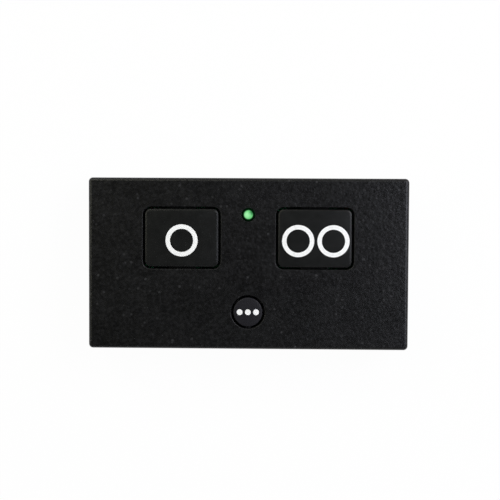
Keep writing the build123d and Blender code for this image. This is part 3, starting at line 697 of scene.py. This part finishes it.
class Workshop:
    """Turns shaped meshes into finished pieces on their bodies, and keeps the finishes."""

    def __init__(self) -> None:
        """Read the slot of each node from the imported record."""
        self.slots = {part["node"]: part["material_slot"] for part in frame["record"]["subparts"]}
        self.materials: dict[str, Material] = {}
        self.made_anew: set[str] = set()

    def finish_of(self, slot: str) -> Material:
        """Give a slot's material, made on first use.

        Args:
            slot: The record's material slot.

        Returns:
            The material.
        """
        if slot not in self.materials:
            self.materials[slot] = FINISHES[slot]()
        return self.materials[slot]

    def dress_node(self, name: str) -> None:
        """Give a node of the solid model the finish of its slot.

        Args:
            name: The node's name.
        """
        node = frame["nodes"][name]
        node.data.materials.clear()
        node.data.materials.append(self.finish_of(self.slots[name]))
        log.info("dressed %s", name)

    def add(
        self, shape: Shape, name: str, body: str, material: Material, replaced: str | None = None
    ) -> None:
        """Make a shaped mesh a piece that rides on a body.

        Args:
            shape: The mesh, at its own place. It is used up.
            name: The piece's name.
            body: The body that it moves with.
            material: Its finish.
            replaced: The node that it stands for, if any.
        """
        bmesh.ops.remove_doubles(shape, verts=shape.verts, dist=WELD)
        bmesh.ops.recalc_face_normals(shape, faces=shape.faces)
        for face in shape.faces:
            face.smooth = True
        for edge in shape.edges:
            edge.smooth = edge.is_manifold and edge.calc_face_angle(0.0) < CREASE
        mesh = bpy.data.meshes.new(name)
        shape.to_mesh(mesh)
        shape.free()
        piece = bpy.data.objects.new(name, mesh)
        bpy.context.scene.collection.objects.link(piece)
        mesh.materials.append(material)
        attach(piece, body)
        if replaced:
            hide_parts(replaced)
            self.made_anew.add(replaced)
        log.info("made %s on %s with %d faces", name, body, len(mesh.polygons))


def new_points(grown: dict[str, list]) -> list[Vertex]:
    """The vertices that an extrusion made."""
    return [item for item in grown["geom"] if isinstance(item, Vertex)]


def edges_at(shape: Shape, height: float) -> list[Edge]:
    """The edges that lie at a height."""
    return [edge for edge in shape.edges if all(abs(vert.co.z - height) < LEVEL for vert in edge.verts)]


def edges_of(points: Iterable[Vertex]) -> list[Edge]:
    """The edges that meet at any of some vertices, each once and in the same order each run."""
    return list(dict.fromkeys(edge for point in points for edge in point.link_edges))


def round_off(shape: Shape, edges: list[Edge], radius: float, steps: int) -> None:
    """Round edges off by a radius, with this many faces across."""
    bmesh.ops.bevel(
        shape, geom=edges, offset=radius, segments=steps, profile=0.5, affect="EDGES", material=-1
    )


def block(shape: Shape, low: Vector, high: Vector) -> None:
    """Add a box between its lowest and its highest corner."""
    place = Matrix.Translation((low + high) / 2) @ Matrix.Diagonal((*(high - low), 1.0))
    bmesh.ops.create_cube(shape, size=1.0, matrix=place)


def upright_cylinder(shape: Shape, radius: float, low: float, high: float, steps: int) -> None:
    """Add a cylinder round the origin's upright axis, from one height to another."""
    middle = Matrix.Translation((0, 0, (low + high) / 2))
    bmesh.ops.create_cone(
        shape, cap_ends=True, segments=steps, radius1=radius, radius2=radius, depth=high - low, matrix=middle
    )


def upright_revolve(profile: Iterable[Span], steps: int, centre: Vector) -> Shape:
    """Spin a profile round an upright axis.

    Args:
        profile: Points of radius and height, from one end of the axis to the other.
        steps: The number of steps in the full turn.
        centre: A point on the axis, at the height that the profile counts from.

    Returns:
        The closed shape.
    """
    shape = bmesh.new()
    points = [shape.verts.new((radius, 0.0, height)) for radius, height in profile]
    line = [shape.edges.new(pair) for pair in zip(points, points[1:])]
    bmesh.ops.spin(
        shape, geom=points + line, cent=(0, 0, 0), axis=(0, 0, 1), angle=math.tau, steps=steps, use_merge=True
    )
    bmesh.ops.remove_doubles(shape, verts=shape.verts, dist=WELD)
    bmesh.ops.translate(shape, vec=centre, verts=shape.verts)
    return shape


@dataclass
class KeyCap:
    """A hollow cap with a crowned top, a soft edge, a skirt, four tabs and a post.

    It is shaped round the origin's axis at its own height, and moved to its place at the end.
    """

    workshop: Workshop
    node: str
    body: str
    crown_radius: float
    tab_width: float
    corner: float | None
    turn_stop: Span | None = None
    tab_reach: float = 1.0 * MM
    tab_height: float = 0.9 * MM
    edge: float = 0.30 * MM
    skirt: float = 1.2 * MM
    plate: float = 1.7 * MM
    rib: float = 0.9 * MM
    post: float = 2.0 * MM
    post_drop: float = 1.0 * MM
    sink: float = 0.03 * MM
    crown_cell: float = 1.0 * MM
    crown_depth: float = 1.2 * MM
    print_height: float = 0.02 * MM
    print_depth: float = 0.05 * MM
    round_steps: int = 96
    corner_steps: int = 10
    edge_steps: int = 6
    post_steps: int = 32
    ring_steps: int = 72
    dot_steps: int = 48

    def __post_init__(self) -> None:
        """Read the cap's place and outline from its node's box."""
        low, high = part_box(self.node)
        switch_low, switch_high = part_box(self.node.replace("button_cap", "switch_base"))
        self.centre = (switch_low + switch_high) / 2
        self.half = Vector((high.x - self.centre.x - self.tab_reach, self.centre.y - low.y - self.tab_reach))
        self.bottom = low.z
        self.top = high.z - self.sink

    def crown_drop(self, x: float, y: float) -> float:
        """How far the crowned top has fallen at a point counted from the cap's middle."""
        return (x * x + y * y) / (2 * self.crown_radius)

    def outline_block(self) -> Shape:
        """Make the outer block with rounded corners and a rounded top edge.

        Returns:
            The block.
        """
        shape = bmesh.new()
        if self.corner is None:
            upright_cylinder(shape, self.half.x, self.bottom, self.top, self.round_steps)
        else:
            low = Vector((-self.half.x, -self.half.y, self.bottom))
            block(shape, low, Vector((self.half.x, self.half.y, self.top)))
            upright = [e for e in shape.edges if abs(e.verts[0].co.z - e.verts[1].co.z) > self.edge]
            round_off(shape, upright, self.corner, self.corner_steps)
        round_off(shape, edges_at(shape, self.top), self.edge, self.edge_steps)
        return shape

    def hollow(self, shape: Shape) -> None:
        """Sink the underside to leave a skirt round it.

        Args:
            shape: The outer block.
        """
        under = min(shape.faces, key=lambda face: face.calc_center_median().z)
        bmesh.ops.inset_region(shape, faces=[under], thickness=self.skirt, use_even_offset=True)
        moved = new_points(bmesh.ops.extrude_face_region(shape, geom=[under]))
        bmesh.ops.translate(shape, vec=(0, 0, self.top - self.plate - self.bottom), verts=moved)
        bmesh.ops.delete(shape, geom=[under], context="FACES_ONLY")

    def crown(self, shape: Shape) -> None:
        """Cut the top into a grid and let it fall away from the middle.

        Args:
            shape: The hollow block.
        """
        for axis in (0, 1):
            steps = math.ceil(self.half[axis] / self.crown_cell)
            for step in range(1 - steps, steps):
                point = Vector((0, 0, 0))
                point[axis] = step * self.half[axis] / steps
                direction = Vector((0, 0, 0))
                direction[axis] = 1.0
                everything = [*shape.verts, *shape.edges, *shape.faces]
                bmesh.ops.bisect_plane(shape, geom=everything, dist=0.0, plane_co=point, plane_no=direction)
        foot = self.top - self.crown_depth
        for vertex in shape.verts:
            share = min(max((vertex.co.z - foot) / (self.top - foot), 0.0), 1.0)
            vertex.co.z -= share * self.crown_drop(vertex.co.x, vertex.co.y)

    def fittings(self, shape: Shape) -> None:
        """Add the tabs that hold the cap in its well, the ribs and the post for the switch.

        Args:
            shape: The crowned cap.
        """
        tab_top = self.bottom + self.tab_height
        half = self.tab_width / 2
        for axis in (0, 1):
            inner, outer = self.half[axis] - self.skirt / 2, self.half[axis] + self.tab_reach
            for ends in ((-outer, -inner), (inner, outer)):
                low = Vector((-half, -half, self.bottom))
                high = Vector((half, half, tab_top))
                low[axis], high[axis] = ends
                block(shape, low, high)
        if self.turn_stop:
            width, reach = self.turn_stop
            low = Vector((-width / 2, self.half.y - self.skirt / 2, self.bottom))
            block(shape, low, Vector((width / 2, self.half.y + self.tab_reach + reach, tab_top)))
        under = self.top - self.plate
        foot = under - self.post_drop
        reach = self.half - Vector((self.skirt / 2, self.skirt / 2))
        block(shape, Vector((-reach.x, -self.rib / 2, foot)), Vector((reach.x, self.rib / 2, under)))
        block(shape, Vector((-self.rib / 2, -reach.y, foot)), Vector((self.rib / 2, reach.y, under)))
        upright_cylinder(shape, self.post, foot, under, self.post_steps)

    def build(self) -> None:
        """Make the cap and put it on its body."""
        shape = self.outline_block()
        self.hollow(shape)
        self.crown(shape)
        self.fittings(shape)
        bmesh.ops.translate(shape, vec=(self.centre.x, self.centre.y, 0), verts=shape.verts)
        name = self.node.replace("button_cap", "key")
        material = self.workshop.finish_of(self.workshop.slots[self.node])
        self.workshop.add(shape, name, self.body, material, self.node)

    def print_ring(self, name: str, place: Vector, radius: float, stroke: float) -> None:
        """Print a plain ring on the crown.

        Args:
            name: The print's name.
            place: Its middle, counted from the cap's middle.
            radius: Its outer radius.
            stroke: The width of its line.
        """
        shape = bmesh.new()
        rims = []
        for rim in (radius, radius - stroke):
            rims += edges_of(bmesh.ops.create_circle(shape, segments=self.ring_steps, radius=rim)["verts"])
        bmesh.ops.bridge_loops(shape, edges=rims)
        self.lay_print(shape, name, place)

    def print_dot(self, name: str, place: Vector, radius: float) -> None:
        """Print a plain dot on the crown.

        Args:
            name: The print's name.
            place: Its middle, counted from the cap's middle.
            radius: Its radius.
        """
        shape = bmesh.new()
        bmesh.ops.create_circle(shape, cap_ends=True, segments=self.dot_steps, radius=radius)
        self.lay_print(shape, name, place)

    def lay_print(self, shape: Shape, name: str, place: Vector) -> None:
        """Give a flat print its thickness and lay it on the crown.

        Args:
            shape: The flat print.
            name: The print's name.
            place: Its middle, counted from the cap's middle.
        """
        raised = new_points(bmesh.ops.extrude_face_region(shape, geom=list(shape.faces)))
        bmesh.ops.translate(shape, vec=(0, 0, self.print_height + self.print_depth), verts=raised)
        bmesh.ops.translate(shape, vec=(place.x, place.y, self.top - self.print_depth), verts=shape.verts)
        for vertex in shape.verts:
            vertex.co.z -= self.crown_drop(vertex.co.x, vertex.co.y)
        bmesh.ops.translate(shape, vec=(self.centre.x, self.centre.y, 0), verts=shape.verts)
        self.workshop.add(shape, name, self.body, self.workshop.finish_of("ink"))


# How far across from the cap's middle each ring of a large key has its own
RING_PLACES = {Side.LEFT: (0.0,), Side.RIGHT: (-4.9 * MM, 5.4 * MM)}


@dataclass
class LargeKey:
    """A large key with its crowned cap and its plain ring marks."""

    workshop: Workshop
    side: Side
    crown_radius: float = 260 * MM
    tab_width: float = 8.0 * MM
    corner: float = 1.6 * MM
    ring_drop: float = 0.75 * MM
    ring_radius: float = 4.7 * MM
    ring_stroke: float = 1.3 * MM

    def build(self) -> None:
        """Make the cap and print its rings."""
        name = self.side.value
        cap = KeyCap(
            workshop=self.workshop,
            node=f"{name}_button_cap",
            body=f"{name}_button",
            crown_radius=self.crown_radius,
            tab_width=self.tab_width,
            corner=self.corner,
        )
        cap.build()
        for number, x in enumerate(RING_PLACES[self.side], start=1):
            place = Vector((x, -self.ring_drop))
            cap.print_ring(f"{name}_key_ring_{number}", place, self.ring_radius, self.ring_stroke)


@dataclass
class RoundKey:
    """The small round key with three plain dots."""

    workshop: Workshop
    crown_radius: float = 40 * MM
    tab_width: float = 2.0 * MM
    stop_width: float = 1.6 * MM
    stop_reach: float = 0.7 * MM
    dot_radius: float = 0.85 * MM
    dot_pitch: float = 2.4 * MM

    def build(self) -> None:
        """Make the cap and print its dots."""
        cap = KeyCap(
            workshop=self.workshop,
            node="round_button_cap",
            body="round_button",
            crown_radius=self.crown_radius,
            tab_width=self.tab_width,
            corner=None,
            turn_stop=(self.stop_width, self.stop_reach),
        )
        cap.build()
        for number, step in enumerate((-1, 0, 1), start=1):
            cap.print_dot(f"round_key_dot_{number}", Vector((step * self.dot_pitch, 0)), self.dot_radius)


@dataclass
class IndicatorLamp:
    """The round resin lamp with its domed tip and its flange."""

    workshop: Workshop
    node: str = "indicator_led"
    flange: float = 1.9 * MM
    flange_height: float = 1.0 * MM
    radius: float = 1.5 * MM
    dome_steps: int = 14
    turn_steps: int = 64

    def build(self) -> None:
        """Spin the lamp's body and light it."""
        low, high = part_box(self.node)
        axis = Vector(((low.x + high.x) / 2, (low.y + high.y) / 2, low.z))
        height = high.z - low.z
        shoulder = height - self.radius
        turns = [math.pi / 2 * step / self.dome_steps for step in range(self.dome_steps)]
        profile = [
            (0.0, 0.0),
            (self.flange, 0.0),
            (self.flange, self.flange_height),
            (self.radius, self.flange_height),
            *((self.radius * math.cos(turn), shoulder + self.radius * math.sin(turn)) for turn in turns),
            (0.0, height),
        ]
        shape = upright_revolve(profile, self.turn_steps, axis)
        self.workshop.add(shape, "lamp_lens", "case", LitResin().material(axis, self.radius), self.node)


@dataclass
class CaseScrews:
    """Four pan head screws with cross recesses, deep in the pockets of the back.

    The head's profile is in shares of its radius and height. Neck and tip are shares of the
    shank's radius. Start, flank, crest and plain length of the thread are in pitches.
    """

    workshop: Workshop
    node: str = "case_screws"
    head: float = 2.0 * MM
    head_height: float = 1.3 * MM
    head_profile: tuple[Span, ...] = ((0.66, 0.0), (0.84, 0.06), (0.95, 0.20), (1.0, 0.42), (1.0, 1.0))
    shank: float = 1.05 * MM
    neck: float = 0.95
    tip: float = 0.6
    pitch: float = 0.8 * MM
    thread_depth: float = 0.22 * MM
    thread_start: float = 0.75
    flank: float = 0.35
    crest: Span = (0.55, 0.65)
    plain_length: float = 1.5
    cross_reach: float = 1.15 * MM
    cross_width: float = 0.42 * MM
    cross_depth: float = 0.8 * MM
    cross_taper: float = 0.7
    cross_cuts: int = 3
    turn: float = math.radians(23)

    def cross(self, shape: Shape) -> list[Edge]:
        """Make the sunk cross, with its rim left open to be joined to the head.

        Args:
            shape: The mesh that it goes into.

        Returns:
            The rim's edges.
        """
        half = self.cross_width / 2
        middle = bmesh.ops.create_grid(shape, x_segments=1, y_segments=1, size=half)["verts"]
        for edge in edges_of(middle):
            away = (edge.verts[0].co + edge.verts[1].co).normalized() * (self.cross_reach - half)
            moved = new_points(bmesh.ops.extrude_edge_only(shape, edges=[edge]))
            bmesh.ops.translate(shape, vec=away, verts=moved)
        rim = [edge for edge in shape.edges if edge.is_boundary]
        floor = list(shape.verts)
        raised = new_points(bmesh.ops.extrude_edge_only(shape, edges=rim))
        bmesh.ops.scale(shape, vec=(self.cross_taper, self.cross_taper, 1.0), verts=floor)
        bmesh.ops.translate(shape, vec=(0, 0, self.cross_depth), verts=floor)
        rim = [edge for edge in shape.edges if edge.is_boundary and all(v in raised for v in edge.verts)]
        bmesh.ops.subdivide_edges(shape, edges=rim, cuts=self.cross_cuts)
        return [edge for edge in shape.edges if edge.is_boundary]

    def loops(self, length: float) -> list[Span]:
        """The radius and height of each loop from the head's face to the shank's tip.

        Args:
            length: The length of the shank.

        Returns:
            The loops, from the lowest up.
        """
        drop = self.head_height
        neck = self.shank * self.neck
        root = self.shank - self.thread_depth
        thread = ((root, 0.0), (root, self.flank), *((self.shank, rise) for rise in self.crest))
        steps = [(self.head * radius, drop * height) for radius, height in self.head_profile]
        steps += [(neck, drop), (neck, drop + self.pitch / 2)]
        for turn in range(int((length - self.pitch * self.plain_length) / self.pitch)):
            base = drop + self.pitch * (turn + self.thread_start)
            steps += [(radius, base + self.pitch * rise) for radius, rise in thread]
        steps.append((self.shank * self.tip, drop + length))
        return steps

    def one_screw(self, foot: float, length: float) -> bpy.types.Mesh:
        """Make one upright screw on the origin's axis.

        Args:
            foot: The height of the head's face.
            length: The length of the shank.

        Returns:
            The screw's mesh.
        """
        screw = bmesh.new()
        rim = self.cross(screw)
        (face_radius, _), *others = self.loops(length)
        circle = bmesh.ops.create_circle(screw, segments=len(rim), radius=face_radius)["verts"]
        ring = edges_of(circle)
        bmesh.ops.bridge_loops(screw, edges=rim + ring)
        for radius, height in others:
            grown = bmesh.ops.extrude_edge_only(screw, edges=ring)
            moved = new_points(grown)
            ring = [item for item in grown["geom"] if isinstance(item, Edge)]
            ring = [edge for edge in ring if all(vertex in moved for vertex in edge.verts)]
            growth = radius / moved[0].co.to_2d().length
            bmesh.ops.scale(screw, vec=(growth, growth, 1.0), verts=moved)
            bmesh.ops.translate(screw, vec=(0, 0, height - moved[0].co.z), verts=moved)
        bmesh.ops.contextual_create(screw, geom=ring)
        bmesh.ops.translate(screw, vec=(0, 0, foot), verts=screw.verts)
        mesh = bpy.data.meshes.new("one_screw")
        screw.to_mesh(mesh)
        screw.free()
        return mesh

    def build(self) -> None:
        """Make one screw and set it at the four places."""
        low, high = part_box(self.node)
        one = self.one_screw(low.z, high.z - low.z - self.head_height)
        reach = Vector((high.x - self.head, high.y - self.head))
        shape = bmesh.new()
        for x, y in ((-1, -1), (-1, 1), (1, -1), (1, 1)):
            known = len(shape.verts)
            shape.from_mesh(one)
            new = list(shape.verts)[known:]
            turn = Matrix.Rotation(self.turn * (x + 2 * y), 3, "Z")
            bmesh.ops.rotate(shape, matrix=turn, verts=new)
            bmesh.ops.translate(shape, vec=(x * reach.x, y * reach.y, 0), verts=new)
        bpy.data.meshes.remove(one)
        material = self.workshop.finish_of("screw_steel")
        self.workshop.add(shape, "cross_head_screws", "case", material, self.node)


@dataclass
class Softbox:
    """A soft rectangular lamp that looks at the remote."""

    name: str
    place: Vector
    size: Span
    power: float
    colour: Colour

    def build(self, target: Vector) -> None:
        """Hang the lamp and turn it to the remote.

        Args:
            target: The point that it looks at.
        """
        light = bpy.data.lights.new(self.name, "AREA")
        light.shape = "RECTANGLE"
        light.size, light.size_y = self.size
        light.energy = self.power
        light.color = self.colour
        lamp = bpy.data.objects.new(self.name, light)
        bpy.context.scene.collection.objects.link(lamp)
        look = (target - self.place).to_track_quat("-Z", "Y")
        lamp.matrix_world = Matrix.Translation(self.place) @ look.to_matrix().to_4x4()
        log.info("hung %s", self.name)


@dataclass
class Studio:
    """The pale floor, the soft light and the camera over the button face."""

    floor_size: float = 3.0
    floor_steps: int = 64
    rim_height: float = 0.5
    world_light: float = 0.05
    camera_distance: float = 350 * MM
    tilt: float = math.radians(2.89)
    lean: float = math.radians(-1.45)
    roll: float = math.radians(-0.29)
    shift_x: float = -0.56 * MM
    shift_y: float = -4.09 * MM
    pixels_per_metre: float = 3417.0
    sensor: float = 36.0
    clip_start: float = 10 * MM
    softboxes: tuple[Softbox, ...] = (
        Softbox("upper_right_softbox", Vector((0.50, 0.40, 0.58)), (0.45, 0.45), 3.9, (0.95, 0.95, 1.0)),
        Softbox("right_panel", Vector((0.30, 0.04, 0.40)), (0.24, 0.24), 1.0, (0.84, 0.87, 1.0)),
        Softbox("left_panel", Vector((-0.40, 0.08, 0.39)), (0.20, 0.20), 0.6, (1.0, 1.0, 0.80)),
        Softbox("top_panel", Vector((-0.24, 0.40, 0.42)), (0.24, 0.20), 1.15, (1.0, 1.0, 0.84)),
        Softbox("low_front_softbox", Vector((0.10, -0.60, 0.70)), (0.40, 0.30), 0.4, (0.94, 0.96, 1.0)),
    )

    def __post_init__(self) -> None:
        """Find the middle of the button face."""
        self.face = Vector((0, 0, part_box("front_housing")[1].z))

    def floor(self) -> None:
        """Lay the floor with its upturned rim."""
        shape = bmesh.new()
        bmesh.ops.create_circle(shape, cap_ends=True, segments=self.floor_steps, radius=self.floor_size / 2)
        raised = new_points(bmesh.ops.extrude_edge_only(shape, edges=list(shape.edges)))
        bmesh.ops.translate(shape, vec=(0, 0, self.rim_height), verts=raised)
        mesh = bpy.data.meshes.new("pale_floor")
        shape.to_mesh(mesh)
        shape.free()
        mesh.materials.append(FloorPaper().material())
        floor = bpy.data.objects.new("pale_floor", mesh)
        bpy.context.scene.collection.objects.link(floor)

    def world(self) -> None:
        """Light weakly and evenly from all round."""
        world = bpy.data.worlds.new("studio_air")
        bpy.context.scene.world = world
        world.use_nodes = True
        tree = world.node_tree
        tree.nodes.clear()
        output = tree.nodes.new("ShaderNodeOutputWorld")
        light = tree.nodes.new("ShaderNodeBackground")
        light.inputs["Color"].default_value = (*WHITE, 1.0)
        light.inputs["Strength"].default_value = self.world_light
        tree.links.new(light.outputs["Background"], output.inputs["Surface"])

    def camera(self) -> None:
        """Set the camera nearly straight over the face, as the picture was taken."""
        turn = (
            Matrix.Rotation(self.roll, 3, "Z")
            @ Matrix.Rotation(self.tilt, 3, "X")
            @ Matrix.Rotation(self.lean, 3, "Y")
        )
        back = turn.transposed()
        eye = back @ Vector((-self.shift_x, -self.shift_y, self.camera_distance)) + self.face
        data = bpy.data.cameras.new("overhead_camera")
        data.sensor_width = self.sensor
        data.lens = self.pixels_per_metre * self.camera_distance * self.sensor / IMAGE_WIDTH
        data.clip_start = self.clip_start
        camera = bpy.data.objects.new("overhead_camera", data)
        bpy.context.scene.collection.objects.link(camera)
        camera.matrix_world = Matrix.Translation(eye) @ back.to_4x4()
        bpy.context.scene.camera = camera

    def build(self) -> None:
        """Set up the floor, the light, the lamps and the camera."""
        self.floor()
        self.world()
        for softbox in self.softboxes:
            softbox.build(self.face)
        self.camera()
        bpy.context.scene.view_settings.view_transform = "Standard"


def main() -> None:
    """Build the studio and every sub-assembly, and dress what the solid model gives."""
    logging.basicConfig(level=logging.INFO, format="%(name)s: %(message)s")
    Studio().build()
    workshop = Workshop()
    for side in Side:
        LargeKey(workshop, side).build()
    for assembly in (RoundKey, IndicatorLamp, CaseScrews):
        assembly(workshop).build()
    for name in sorted(set(frame["nodes"]) - workshop.made_anew):
        workshop.dress_node(name)


if __name__ == "__main__":
    main()
